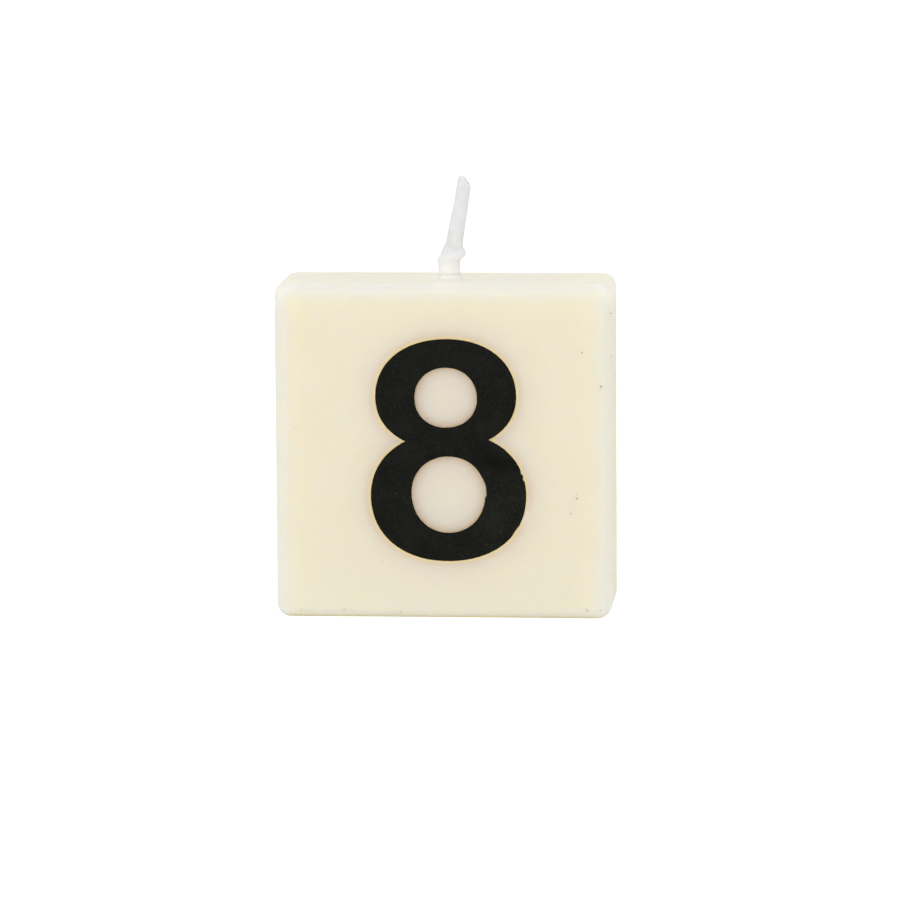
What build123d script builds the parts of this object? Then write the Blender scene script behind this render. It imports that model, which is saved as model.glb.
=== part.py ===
from build123d import *
import os

# Number birthday candle: a square tile of cast wax that stands on its lower edge, with a black numeral on
# the front face and a knotted cotton wick that comes out of the top.
# Millimetres. +Z is up, the front faces -Y, and the origin is the middle of the base.

# Wax tile
tile_width = 35.0
tile_height = 35.1
tile_depth = 10.5
top_left_radius = 1.4
top_right_radius = 1.4
base_left_radius = 1.4
base_right_radius = 1.6
front_edge_radius = 1.3
back_edge_radius = 0.5

# The back was the open side of the mould, where the wax sank a little as it set.
dish_depth = 0.2
dish_radius = 15.0

# Wick: upright in the tile, then leaning over to the right. Its tip is snipped level and then slanting.
wick_x = 0.45
wick_diameter = 1.55
bend_above_wax = 0.6
bend_radius = 7.2
lean_angle = 9.35
tip_above_wax = 10.55
tip_level_width = 0.65
tip_slant_angle = 55.0

# The knot is two turns of the wick drawn tight: a sloping one above and a smaller one at the foot.
upper_turn_above_wax = 2.15
upper_turn_x = 0.55
upper_turn_slope = 17.5
upper_turn_radius = 0.88
foot_turn_above_wax = 0.95
foot_turn_x = 0.35
foot_turn_slope = 6.0
foot_turn_radius = 0.55
strand_diameter = 1.25

# Wax that closes the two ends of the wick's channel
seal_radius = 1.7
seal_height = 0.45
seal_rim_height = 0.05
plug_diameter = 3.2
plug_height = 1.6

# Numeral: a thin film of two stacked bowls, each with a round counter. Each round has its centre's height
# above the waist where the bowls meet, its half width, and how far it reaches above and below its centre.
# Fullness is how square its shoulders are: an ellipse has 0.55.
film_thickness = 0.12
waist_x = 0.46
waist_height = 18.65
numeral_tilt = 1.3
upper_bowl = {"centre": 4.63, "half_width": 7.30, "rise": 6.02, "drop": 5.45, "fullness": 0.60}
lower_bowl = {"centre": -5.70, "half_width": 8.06, "rise": 6.64, "drop": 6.83, "fullness": 0.60}
upper_counter = {"centre": 4.49, "half_width": 3.24, "rise": 3.19, "drop": 3.06, "fullness": 0.58}
lower_counter = {"centre": -5.43, "half_width": 3.83, "rise": 3.85, "drop": 4.14, "fullness": 0.58}

os.makedirs("parts", exist_ok=True)


def finish(builder, name):
    """Label a finished piece and write it as its own file."""
    builder.part.label = name
    export_step(builder.part, f"parts/{name}.step")


def quarter_round(centre, half_width, reach, fullness):
    """A quarter of a round's outline, from its side to its top, or to its bottom if reach is negative."""
    Bezier(
        (half_width, centre),
        (half_width, centre + fullness * reach),
        (fullness * half_width, centre + reach),
        (0, centre + reach),
    )


def numeral_round(centre, half_width, rise, drop, fullness, mode=Mode.ADD):
    """A closed round of the numeral, its right half drawn and mirrored."""
    with BuildLine() as outline:
        quarter_round(centre, half_width, rise, fullness)
        quarter_round(centre, half_width, -drop, fullness)
        mirror(about=Plane.YZ)
    make_face(outline.edges(), mode=mode)


# Wax tile with its wick channel
front_y = -tile_depth / 2
back_y = tile_depth / 2
upward = (Align.CENTER, Align.CENTER, Align.MIN)
dish_ball_radius = (dish_radius**2 + dish_depth**2) / (2 * dish_depth)

with BuildPart() as wax_tile:
    with BuildSketch(Plane.XZ.offset(-back_y)) as outline:
        with Locations((0, tile_height / 2)):
            Rectangle(tile_width, tile_height)
        fillet(outline.vertices().group_by(Axis.Y)[-1].sort_by(Axis.X)[0], top_left_radius)
        fillet(outline.vertices().group_by(Axis.Y)[-1].sort_by(Axis.X)[-1], top_right_radius)
        fillet(outline.vertices().group_by(Axis.Y)[0].sort_by(Axis.X)[0], base_left_radius)
        fillet(outline.vertices().group_by(Axis.Y)[0].sort_by(Axis.X)[-1], base_right_radius)
    extrude(amount=tile_depth)
    fillet(wax_tile.faces().sort_by(Axis.Y)[0].edges(), front_edge_radius)
    fillet(wax_tile.faces().sort_by(Axis.Y)[-1].edges(), back_edge_radius)
    with Locations((0, back_y - dish_depth + dish_ball_radius, tile_height / 2)):
        Sphere(dish_ball_radius, mode=Mode.SUBTRACT)
    with Locations((wick_x, 0, 0)):
        Cylinder(plug_diameter / 2, plug_height, align=upward, mode=Mode.SUBTRACT)
        Cylinder(wick_diameter / 2, tile_height, align=upward, mode=Mode.SUBTRACT)
finish(wax_tile, "wax_tile")

# Numeral film on the front face
numeral_plane = Plane(
    origin=(waist_x, front_y, waist_height),
    x_dir=Vector(1, 0, 0).rotate(Axis.Y, -numeral_tilt),
    z_dir=(0, -1, 0),
)

with BuildPart() as numeral_8:
    with BuildSketch(numeral_plane):
        numeral_round(**upper_bowl)
        numeral_round(**lower_bowl)
        numeral_round(**upper_counter, mode=Mode.SUBTRACT)
        numeral_round(**lower_counter, mode=Mode.SUBTRACT)
    extrude(amount=film_thickness)
finish(numeral_8, "numeral_8")

# Wick, from the top of the base plug to its snipped tip
bend_point = Vector(wick_x, 0, tile_height + bend_above_wax)
lean_direction = Vector(0, 0, 1).rotate(Axis.Y, lean_angle)
uncut_length = tip_above_wax - bend_above_wax + 2 * wick_diameter
tip_height = tile_height + tip_above_wax
tip_shift = (tip_height - bend_point.Z) * lean_direction.X / lean_direction.Z
tip_left_x = bend_point.X + tip_shift - wick_diameter / 2
tip_level_plane = Plane.XY.offset(tip_height)
tip_slant_plane = Plane(
    origin=(tip_left_x + tip_level_width, 0, tip_height),
    z_dir=Vector(0, 0, 1).rotate(Axis.Y, tip_slant_angle),
)
upper_turn = Location((upper_turn_x, 0, tile_height + upper_turn_above_wax), (0, -upper_turn_slope, 0))
foot_turn = Location((foot_turn_x, 0, tile_height + foot_turn_above_wax), (0, -foot_turn_slope, 0))

with BuildPart() as wick:
    with BuildLine():
        FilletPolyline(
            (wick_x, 0, plug_height),
            bend_point,
            bend_point + lean_direction * uncut_length,
            radius=bend_radius,
        )
    with BuildSketch(Plane.XY.offset(plug_height)):
        with Locations((wick_x, 0)):
            Circle(wick_diameter / 2)
    sweep()
    split(bisect_by=tip_level_plane, keep=Keep.BOTTOM)
    split(bisect_by=tip_slant_plane, keep=Keep.BOTTOM)
    with Locations(upper_turn):
        Torus(upper_turn_radius, strand_diameter / 2)
    with Locations(foot_turn):
        Torus(foot_turn_radius, strand_diameter / 2)
finish(wick, "wick")

# Bead of wax round the wick's foot: a low ring whose flank hollows up to the wick
foot_plane = Plane(origin=(wick_x, 0, tile_height), x_dir=(1, 0, 0), z_dir=(0, -1, 0))
foot_axis = Axis((wick_x, 0, tile_height), (0, 0, 1))
crest_radius = wick_diameter / 2 + seal_rim_height

with BuildPart() as top_seal:
    with BuildSketch(foot_plane):
        with BuildLine():
            Line((0, 0), (seal_radius, 0))
            Line((seal_radius, 0), (seal_radius, seal_rim_height))
            RadiusArc((seal_radius, seal_rim_height), (crest_radius, seal_height), -seal_radius)
            Line((crest_radius, seal_height), (0, seal_height))
            Line((0, seal_height), (0, 0))
        make_face()
    revolve(axis=foot_axis)
    add(wick.part, mode=Mode.SUBTRACT)
finish(top_seal, "top_seal")

# Plug of wax under the wick
with BuildPart() as base_plug:
    with BuildSketch(Plane.XY):
        with Locations((wick_x, 0)):
            Circle(plug_diameter / 2)
    extrude(amount=plug_height)
finish(base_plug, "base_plug")
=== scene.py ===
import math

import bmesh
import bpy
import numpy as np
from mathutils import Matrix, Vector, geometry, noise


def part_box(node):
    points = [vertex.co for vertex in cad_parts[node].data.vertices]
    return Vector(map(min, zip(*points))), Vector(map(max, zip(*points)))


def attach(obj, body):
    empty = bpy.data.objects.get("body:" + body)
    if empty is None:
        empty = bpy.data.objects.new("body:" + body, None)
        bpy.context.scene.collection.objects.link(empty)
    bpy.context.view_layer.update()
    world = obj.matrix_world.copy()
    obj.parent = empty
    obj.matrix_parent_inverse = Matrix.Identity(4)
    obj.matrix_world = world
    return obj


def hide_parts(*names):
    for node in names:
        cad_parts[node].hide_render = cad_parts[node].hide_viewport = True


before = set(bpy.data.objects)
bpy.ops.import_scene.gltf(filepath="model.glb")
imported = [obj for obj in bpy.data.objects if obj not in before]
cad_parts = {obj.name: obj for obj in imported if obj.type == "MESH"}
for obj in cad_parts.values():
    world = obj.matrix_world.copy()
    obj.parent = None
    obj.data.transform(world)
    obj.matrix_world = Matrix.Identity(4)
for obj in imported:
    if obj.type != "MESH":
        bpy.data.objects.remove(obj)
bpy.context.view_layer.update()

# Meshes are made in millimetres in the frame of the CAD model, and go into Blender in metres.
MM = 0.001


def node_box(node):
    """Lowest and highest corner of a CAD node in millimetres."""
    low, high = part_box(node)
    return np.array(low) / MM, np.array(high) / MM


tile_low, tile_high = node_box("wax_tile")
film_low, _ = node_box("numeral_8")
_, wick_high = node_box("wick")
plug_low, plug_high = node_box("base_plug")

tile_width, tile_depth, tile_height = tile_high - tile_low
front_y, back_y = tile_low[1], tile_high[1]
wick_x = (plug_low[0] + plug_high[0]) / 2
plug_radius = (plug_high[0] - plug_low[0]) / 2
plug_height = plug_high[2]


# ---------------------------------------------------------------- camera, light and floor

# Angles in degrees, sizes in millimetres. The middle of the view is given from the tile's middle.
CAMERA_AZIMUTH = 4.9
CAMERA_ELEVATION = 8.4
CAMERA_ROLL = -0.37
CAMERA_DISTANCE = 18.2 * tile_width
VIEW_WIDTH = 93.8
VIEW_CENTRE_RIGHT = 0.325
VIEW_CENTRE_DOWN = 0.57
SENSOR_WIDTH = 36.0

WHITE = (1.0, 1.0, 1.0)

# Each softbox: its place and size in metres and its power in watts
SOFTBOXES = {
    "key": ((-0.55, -0.75, 0.55), 0.6, 0.35),
    "overhead": ((0.0, 0.05, 0.8), 0.7, 0.5),
    "front": ((0.0, -0.9, 0.15), 0.6, 1.8),
}
ROOM_LIGHT = 0.86
SURROUND_SEEN = 1.05

# The floor: how far it reaches in metres, its grey, its glow, and how much more it glows to the camera
FLOOR_REACH = 3.0
FLOOR_GREY = (0.79, 0.79, 0.79)
FLOOR_GLOW = 0.23
FLOOR_GLOW_SEEN = 0.6


def make_camera():
    """A long lens a little to the right of the tile's front and above it."""
    azimuth, elevation = math.radians(CAMERA_AZIMUTH), math.radians(CAMERA_ELEVATION)
    level = math.cos(elevation)
    back = Vector((math.sin(azimuth) * level, -math.cos(azimuth) * level, math.sin(elevation)))
    turn = (-back).to_track_quat("-Z", "Y").to_matrix()
    right, up = turn.col[0], turn.col[1]
    target = Vector((0, 0, tile_height / 2)) + VIEW_CENTRE_RIGHT * right - VIEW_CENTRE_DOWN * up
    data = bpy.data.cameras.new("camera")
    data.sensor_width = SENSOR_WIDTH
    data.lens = SENSOR_WIDTH * CAMERA_DISTANCE / VIEW_WIDTH
    data.clip_start = 0.01
    data.clip_end = 20.0
    camera = bpy.data.objects.new("camera", data)
    roll = Matrix.Rotation(math.radians(CAMERA_ROLL), 3, "Z")
    camera.matrix_world = Matrix.LocRotScale((target + back * CAMERA_DISTANCE) * MM, turn @ roll, None)
    bpy.context.scene.collection.objects.link(camera)
    bpy.context.scene.camera = camera


def softbox(name, place, size, power):
    """A square area light in metres that points at the middle of the candle."""
    data = bpy.data.lights.new(name, "AREA")
    data.shape = "SQUARE"
    data.size = size
    data.energy = power
    light = bpy.data.objects.new(name, data)
    target = Vector((0, 0, tile_height / 2 * MM))
    light.location = place
    light.rotation_euler = (target - light.location).to_track_quat("-Z", "Y").to_euler()
    bpy.context.scene.collection.objects.link(light)


def make_studio():
    """Softboxes, a dim room, and a white surround for what the camera sees past the floor."""
    for name, (place, size, power) in SOFTBOXES.items():
        softbox(name, place, size, power)

    world = bpy.data.worlds.new("studio")
    world.use_nodes = True
    tree = world.node_tree
    room = tree.nodes["Background"]
    room.inputs["Color"].default_value = (*WHITE, 1.0)
    room.inputs["Strength"].default_value = ROOM_LIGHT
    white = tree.nodes.new("ShaderNodeBackground")
    white.inputs["Color"].default_value = (*WHITE, 1.0)
    white.inputs["Strength"].default_value = SURROUND_SEEN
    path = tree.nodes.new("ShaderNodeLightPath")
    mix = tree.nodes.new("ShaderNodeMixShader")
    tree.links.new(path.outputs["Is Camera Ray"], mix.inputs["Fac"])
    tree.links.new(room.outputs["Background"], mix.inputs[1])
    tree.links.new(white.outputs["Background"], mix.inputs[2])
    tree.links.new(mix.outputs["Shader"], tree.nodes["World Output"].inputs["Surface"])
    bpy.context.scene.world = world
    bpy.context.scene.view_settings.view_transform = "Standard"


def make_floor():
    """A plain sheet of white card under the candle. It glows more to the camera, so that it looks white."""
    corners = [(-1, -1, 0), (1, -1, 0), (1, 1, 0), (-1, 1, 0)]
    floor = new_object("floor", FLOOR_REACH * np.array(corners), [(0, 1, 2, 3)])
    n = Nodes("white_card")
    seen = n.add("ShaderNodeLightPath").outputs["Is Camera Ray"]
    glow = n.math("ADD", n.times(seen, FLOOR_GLOW_SEEN), FLOOR_GLOW)
    colours = {"Base Color": FLOOR_GREY, "Emission Color": WHITE}
    n.plug(n.shader, {**colours, "Emission Strength": glow, "Roughness": 0.9})
    floor.data.materials.append(n.material)


# ---------------------------------------------------------------- materials


class Nodes:
    """A material and short calls for its nodes, with sizes in millimetres and colours without an alpha."""

    def __init__(self, name):
        self.material = bpy.data.materials.new(name)
        self.material.use_nodes = True
        self.tree = self.material.node_tree
        self.shader = self.tree.nodes["Principled BSDF"]
        self.place = self.add("ShaderNodeTexCoord").outputs["Object"]

    def add(self, kind, inputs=(), **settings):
        """A node with these settings, and these links or values at its inputs."""
        node = self.tree.nodes.new(kind)
        for name, value in settings.items():
            setattr(node, name, value)
        self.plug(node, inputs)
        return node

    def plug(self, node, inputs):
        """Links outputs to a node's inputs, or sets the inputs' own values."""
        for name, value in dict(inputs).items():
            socket = node.inputs[name]
            if isinstance(value, bpy.types.NodeSocket):
                self.tree.links.new(value, socket)
            elif socket.type == "RGBA":
                socket.default_value = (*value, 1.0)
            else:
                socket.default_value = value

    def math(self, operation, a, b=0.0):
        return self.add("ShaderNodeMath", {0: a, 1: b}, operation=operation).outputs["Value"]

    def times(self, a, b):
        return self.math("MULTIPLY", a, b)

    def stretched(self, x, y, z):
        """Object coordinates scaled along each axis: a small number draws a pattern out along that axis."""
        return self.add("ShaderNodeMapping", {"Vector": self.place, "Scale": (x, y, z)}).outputs["Vector"]

    def noise(self, size, detail=2.0, roughness=0.5, vector=None):
        """Noise whose features are about size across."""
        place = self.place if vector is None else vector
        inputs = {"Vector": place, "Scale": 1 / (size * MM), "Detail": detail, "Roughness": roughness}
        return self.add("ShaderNodeTexNoise", inputs).outputs["Fac"]

    def dots(self, spacing, radius, share):
        """1 inside round dots scattered about spacing apart, a given share of them kept, and 0 outside."""
        node = self.add("ShaderNodeTexVoronoi", {"Vector": self.place, "Scale": 1 / (spacing * MM)})
        colour = self.add("ShaderNodeSeparateColor", {"Color": node.outputs["Color"]})
        kept = self.math("LESS_THAN", colour.outputs["Red"], share)
        reach = radius / spacing
        return self.times(kept, self.fade(node.outputs["Distance"], 0.4 * reach, reach))

    def ramp(self, value, low, high, out_low=0.0, out_high=1.0):
        """value from low to high becomes out_low to out_high, smoothly, and stops there."""
        inputs = {"Value": value, "From Min": low, "From Max": high, "To Min": out_low, "To Max": out_high}
        return self.add("ShaderNodeMapRange", inputs, interpolation_type="SMOOTHSTEP").outputs["Result"]

    def fade(self, value, low, high):
        """1 where value is low or less and 0 where it is high or more."""
        return self.ramp(value, low, high, 1.0, 0.0)

    def mix(self, share, a, b, blend_type="MIX"):
        """Colour a where share is 0 and colour b where it is 1."""
        inputs = {"Factor": share, "A": a, "B": b}
        return self.add("ShaderNodeMix", inputs, data_type="RGBA", blend_type=blend_type).outputs["Result"]

    def tint(self, share, colour, by):
        """A colour multiplied by another where share is 1."""
        return self.mix(share, colour, by, "MULTIPLY")

    def tinted(self, colour, shares):
        """A colour multiplied by one of the WAX_TINTS after the other where its share is 1."""
        for name, share in shares.items():
            colour = self.tint(share, colour, WAX_TINTS[name])
        return colour

    def attribute(self, name):
        return self.add("ShaderNodeAttribute", attribute_name=name).outputs["Fac"]

    def height(self):
        """Height above the base in millimetres."""
        split = self.add("ShaderNodeSeparateXYZ", {"Vector": self.place})
        return self.times(split.outputs["Z"], 1 / MM)

    def bump(self, height, depth, normal=None):
        """A bump whose height of 0 to 1 is depth."""
        node = self.add("ShaderNodeBump", {"Strength": 1.0, "Distance": depth * MM, "Height": height})
        if normal is not None:
            self.plug(node, {"Normal": normal})
        return node.outputs["Normal"]


# Light goes this far into the wax before it comes out again: red, green and blue, times a scale.
WAX_DEPTHS = {"Subsurface Weight": 1.0, "Subsurface Radius": (4.0, 3.7, 1.9), "IOR": 1.44}
WAX_BODY = {**WAX_DEPTHS, "Subsurface Scale": MM}
DAB_BODY = {**WAX_DEPTHS, "Subsurface Scale": 0.06 * MM}

# The wax's colours: its body; the pale band inside the front's edges, partly paler wax and partly painted
# light through the thin rim; the painted highlight on the top fillet; the sides in painted shade; the top
# face in painted light; the painted highlight arc in the top corners; and so on
WAX_CORE = (0.790, 0.746, 0.596)
# the pale band: partly paler wax, partly painted light where light comes through the thin rim; then its top
# part, a painted highlight along the top fillet
WAX_PALE_LIT_BAND = (0.724, 0.702, 0.636)
WAX_FILLET_HIGHLIGHT_TOP = (0.742, 0.728, 0.681)
# the sides in painted shade, then the top face in painted light
WAX_SIDE_SHADED = (0.762, 0.723, 0.552)
WAX_TOP_LIT = (0.848, 0.808, 0.686)
# a painted highlight arc inside each top corner
WAX_ARC_HIGHLIGHT = (0.785, 0.775, 0.755)
WAX_BLOOM = (0.90, 0.89, 0.84)
WAX_BUBBLE = (0.90, 0.87, 0.78)
DARK_CRUMB = (0.46, 0.38, 0.26)
ORANGE_CRUMB = (0.95, 0.60, 0.33)

# What the wax's colour is multiplied by in each place
WAX_TINTS = {
    "lower_part": (1.0, 1.012, 1.05),
    # painted shade near the base
    "shaded_base": (0.972, 0.974, 0.985),
    # a painted reflection of the wick on the top face and the front's top edge
    "wick_reflection": (1.03, 1.03, 1.045),
    # painted light round the wick's foot and beside the seal, against the shade there
    "lightened_near_wick": (1.075, 1.06, 1.045),
    "lightened_beside_seal": (1.07, 1.075, 1.08),
    "clouded": (0.996, 0.989, 0.972),
    "mottled": (0.997, 0.994, 0.988),
    "pour_ripple": (0.97, 0.955, 0.925),
    # round the ink and in the counters: partly stain from the ink, partly painted shade of the halo where the
    # film keeps light out of the wax
    "ink_share": (1.0, 0.86, 0.87),
    "in_counter": (0.950, 0.968, 1.005),
    "counter_edge": (0.975, 0.95, 0.91),
    # painted light on the wax beside the film's right edge
    "lit_rim_patch": (1.09, 1.07, 1.02),
    # a nearer tan band: partly stain from the ink, partly painted shade of the halo
    "near_ink": (1.010, 0.96, 0.865),
    "ink_rim": (1.185, 1.105, 0.70),
    "counter_rim": (1.14, 1.04, 0.84),
    # darker and more golden along the very base
    "golden_base_line": (1.0, 0.92, 0.66),
    "specks": (0.66, 0.60, 0.48),
}


def moulded_with_painted_light_and_shade(n):
    """The wax's colour: the sides in painted shade and the top face in painted light; a pale band round the
    front's edges, partly paler wax and partly painted light through the thin rim, with a painted highlight on
    the top fillet; a painted highlight arc in each top corner; painted shade near the base; a painted
    reflection of the wick; painted light round the wick's foot; and clouded.
    """
    edge, height = n.attribute("edge_distance"), n.height()
    # high is 1 on the top face, which is painted lighter as if lit from above; the sides below it are painted
    # darker as if in shade
    high = n.ramp(height, tile_height - 4.0, tile_height - 0.6)
    side = n.mix(high, WAX_SIDE_SHADED, WAX_TOP_LIT)
    # the pale band: partly paler wax, partly painted light through the thin rim, with a painted highlight
    # along the top fillet
    band = n.mix(high, WAX_PALE_LIT_BAND, WAX_FILLET_HIGHLIGHT_TOP)
    colour = n.mix(n.ramp(edge, -0.5, 0.5), side, band)
    colour = n.mix(n.ramp(edge, 0.4, 2.7), colour, WAX_CORE)
    # a painted highlight arc inside each top corner
    colour = n.mix(n.times(n.attribute("corner_highlight"), 0.6), colour, WAX_ARC_HIGHLIGHT)
    cloud = n.ramp(n.noise(4.5, detail=3.0), 0.35, 0.75)
    mottle = n.ramp(n.noise(1.3, detail=2.0, roughness=0.6), 0.4, 0.8)
    shares = {
        "lower_part": n.fade(height, 1.5, 9.0),
        # painted shade near the base
        "shaded_base": n.fade(height, 0.3, 2.4),
        # a painted reflection of the wick
        "wick_reflection": n.attribute("wick_reflection"),
        # painted light round the wick's foot and beside the seal
        "lightened_near_wick": n.attribute("lightened_near_wick"),
        "lightened_beside_seal": n.attribute("lightened_beside_seal"),
        "clouded": n.times(cloud, n.ramp(edge, 0.5, 2.5, 0.25, 1.0)),
        "mottled": n.times(mottle, n.ramp(edge, 0.5, 2.5)),
    }
    return n.tinted(colour, shares)


def poured(n, colour):
    """The colour with the marks of the pour side: rings of clearer wax where it sank, and a patchy bloom."""
    colour = n.tinted(colour, {"pour_ripple": n.attribute("pour_ripple")})
    bloom = n.ramp(n.noise(3.6, detail=4.0, roughness=0.55), 0.42, 0.72, 0.0, 0.22)
    return n.mix(n.times(n.attribute("poured"), bloom), colour, WAX_BLOOM)


def stained_with_painted_halo(n, colour):
    """The colour round the ink: a wide faint blush, darker counters and a nearer tan band, each partly
    solvent stain from the ink and partly painted shade of the halo where the film keeps light out of the wax;
    a painted light patch beside the film's right edge; and a golden rim.
    """
    ink, counter, pale = (n.attribute(name) for name in ("ink_distance", "in_counter", "lit_rim_patch"))
    outside_lit_patch = n.math("SUBTRACT", 1.0, pale)
    shares = {
        # partly stain from the ink, partly painted shade of the halo round it
        "ink_share": n.attribute("ink_share"),
        "in_counter": counter,
        "counter_edge": n.times(counter, n.fade(ink, 0.2, 1.2)),
        # painted light beside the film's right edge
        "lit_rim_patch": n.times(pale, n.fade(ink, 0.3, 1.6)),
        "near_ink": n.times(n.fade(ink, 0.0, 1.3), outside_lit_patch),
    }
    rim = n.mix(counter, WAX_TINTS["ink_rim"], WAX_TINTS["counter_rim"])
    return n.tint(n.times(n.fade(ink, 0.05, 0.40), outside_lit_patch), n.tinted(colour, shares), rim)


def dirtied(n, colour):
    """The colour darker and more golden along the very base, with dark specks, pale bubbles under the skin,
    and crumbs.
    """
    patchy = n.ramp(n.noise(4.5, detail=3.0), 0.2, 0.6, 0.5, 1.0)
    golden_base_line = n.times(n.fade(n.height(), 0.05, 0.45), patchy)
    colour = n.tinted(colour, {"golden_base_line": golden_base_line, "specks": n.dots(2.2, 0.11, 0.5)})
    colour = n.mix(n.times(n.dots(1.7, 0.13, 0.5), 0.5), colour, WAX_BUBBLE)
    colour = n.mix(n.attribute("crumb"), colour, DARK_CRUMB)
    return n.mix(n.attribute("orange_crumb"), colour, ORANGE_CRUMB)


def wax_material():
    """Cream wax with a mould skin, stained by the ink, with specks, bubbles and pits."""
    n = Nodes("cream_wax")

    # Less light goes in where the ink has soaked in, in the orange crumb and beside the seal.
    outside = n.math("SUBTRACT", 1.0, n.attribute("in_counter"))
    shut = n.times(outside, n.ramp(n.attribute("ink_distance"), 0.05, 0.5, 0.55, 0.0))
    for name in ("orange_crumb", "lightened_beside_seal"):
        shut = n.math("MAXIMUM", shut, n.attribute(name))

    gloss = n.ramp(n.noise(2.0, detail=3.0), 0.3, 0.7, 0.37, 0.47)
    waves = n.bump(n.noise(2.6, detail=2.0), 0.012, n.bump(n.noise(0.45, detail=4.0), 0.007))
    pits = n.math("SUBTRACT", 1.0, n.dots(1.15, 0.12, 0.35))
    surface = {
        "Base Color": dirtied(n, stained_with_painted_halo(n, poured(n, moulded_with_painted_light_and_shade(n)))),
        "Subsurface Weight": n.math("SUBTRACT", 1.0, shut),
        "Roughness": n.math("ADD", gloss, n.times(n.attribute("poured"), 0.08)),
        "Normal": n.bump(pits, 0.03, waves),
    }
    n.plug(n.shader, {**WAX_BODY, **surface})
    return n.material


DAB_CLEAR = (0.960, 0.930, 0.850)
DAB_CLOUDY = (0.950, 0.915, 0.830)


def dabbed_wax_material():
    """The same wax where it was dabbed on afterwards: clearer, smoother and without the mould's skin."""
    n = Nodes("cream_wax_dabbed")
    cloud = n.noise(0.9, detail=3.0)
    surface = {
        "Base Color": n.mix(n.ramp(cloud, 0.3, 0.75), DAB_CLEAR, DAB_CLOUDY),
        "Roughness": n.ramp(cloud, 0.3, 0.7, 0.30, 0.42),
        "Normal": n.bump(n.noise(0.3, detail=3.0), 0.012),
    }
    n.plug(n.shader, {**DAB_BODY, **surface})
    return n.material


# The film's colours, then what they are multiplied by: two hues, and the paler and the dull patch
FILM_DEEP = (0.0026, 0.0033, 0.0022)
FILM_CLOUD = (0.0066, 0.0072, 0.0054)
FILM_GRAIN = (0.0140, 0.0142, 0.0120)
FILM_SCUFF = (0.030, 0.029, 0.026)
FILM_DUST = (0.060, 0.058, 0.055)
# the pale edge at the nicks: partly wear, partly a painted highlight where the lifted edge catches light
FILM_NICK_WEAR_AND_GLINT = (0.42, 0.38, 0.36)
FILM_BROWNISH = (1.15, 1.06, 0.95)
FILM_GREENISH = (0.93, 1.06, 0.98)
FILM_PALER_PATCH = (1.55, 1.5, 1.5)
FILM_DULLED = (0.22, 0.22, 0.20)


def film_material():
    """Black ink film, paler grey in one patch, with dust, hairline scuffs, and a pale edge at its nicks that
    is partly wear and partly a painted highlight where the lifted edge catches light.
    """
    n = Nodes("black_film")
    cloud = n.noise(2.4, detail=4.0, roughness=0.6)
    grain = n.noise(0.22, detail=3.0)
    hue = n.noise(1.1, detail=3.0, roughness=0.65, vector=n.stretched(1.0, 1.0, 0.7))
    colour = n.mix(n.ramp(cloud, 0.35, 0.7), FILM_DEEP, FILM_CLOUD)
    colour = n.mix(n.ramp(grain, 0.45, 0.75, 0.0, 0.55), colour, FILM_GRAIN)
    colour = n.tint(0.9, colour, n.mix(n.ramp(hue, 0.3, 0.7), FILM_BROWNISH, FILM_GREENISH))
    colour = n.tint(n.attribute("paler_patch"), colour, FILM_PALER_PATCH)
    colour = n.tint(n.attribute("dulled"), colour, FILM_DULLED)
    hairlines = n.ramp(n.noise(0.5, detail=2.0, vector=n.stretched(0.22, 1.0, 1.0)), 0.60, 0.70)
    scuffs = n.times(hairlines, n.attribute("scuffed"))
    colour = n.mix(n.times(scuffs, 0.35), colour, FILM_SCUFF)
    colour = n.mix(n.dots(0.85, 0.07, 0.5), colour, FILM_DUST)
    surface = {
        # pale at the nicks: partly wear, partly a painted highlight of the lifted edge
        "Base Color": n.mix(n.attribute("nick_wear_and_glint"), colour, FILM_NICK_WEAR_AND_GLINT),
        "Specular IOR Level": 0.07,
        "Roughness": n.ramp(cloud, 0.3, 0.7, 0.40, 0.58),
        "Normal": n.bump(grain, 0.004, n.bump(cloud, 0.02)),
    }
    n.plug(n.shader, surface)
    return n.material


# The cotton's colours, then what they are multiplied by in its fibres, and the painted shade in its creases
COTTON_BODY = {"Subsurface Weight": 0.8, "Subsurface Radius": (1.0, 1.0, 1.0), "Subsurface Scale": 0.30 * MM}
COTTON_DEEP = (0.734, 0.735, 0.738)
COTTON_WAXED = (0.776, 0.776, 0.784)
COTTON_FOOT = (0.895, 0.891, 0.880)
COTTON_STAINED = (0.865, 0.825, 0.745)
COTTON_FIBRE = (0.955, 0.955, 0.95)
COTTON_CREASE_SHADE = (0.95, 0.94, 0.91)


def cotton_material():
    """White braided cotton soaked in clear wax: fibres along the strands, under a smooth patchy skin."""
    n = Nodes("waxed_cotton")
    cloud = n.noise(0.9, detail=3.0)
    fibres = n.noise(0.09, detail=3.0, vector=n.stretched(1.0, 1.0, 0.16))
    colour = n.mix(n.ramp(cloud, 0.3, 0.7), COTTON_DEEP, COTTON_WAXED)
    colour = n.tint(n.ramp(fibres, 0.35, 0.75, 0.0, 0.6), colour, COTTON_FIBRE)
    colour = n.mix(n.fade(n.height(), tile_height + 0.4, tile_height + 3.6), colour, COTTON_FOOT)
    colour = n.mix(n.ramp(n.height(), tile_height, tile_height + 1.0, 0.8, 0.0), colour, COTTON_STAINED)
    surface = {
        # painted shade in the creases
        "Base Color": n.tint(n.attribute("crease_shade"), colour, COTTON_CREASE_SHADE),
        "IOR": 1.44,
        "Roughness": n.ramp(cloud, 0.3, 0.7, 0.38, 0.55),
        "Normal": n.bump(fibres, 0.012, n.bump(cloud, 0.03)),
    }
    n.plug(n.shader, {**COTTON_BODY, **surface})
    return n.material


# ---------------------------------------------------------------- mesh helpers


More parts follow.
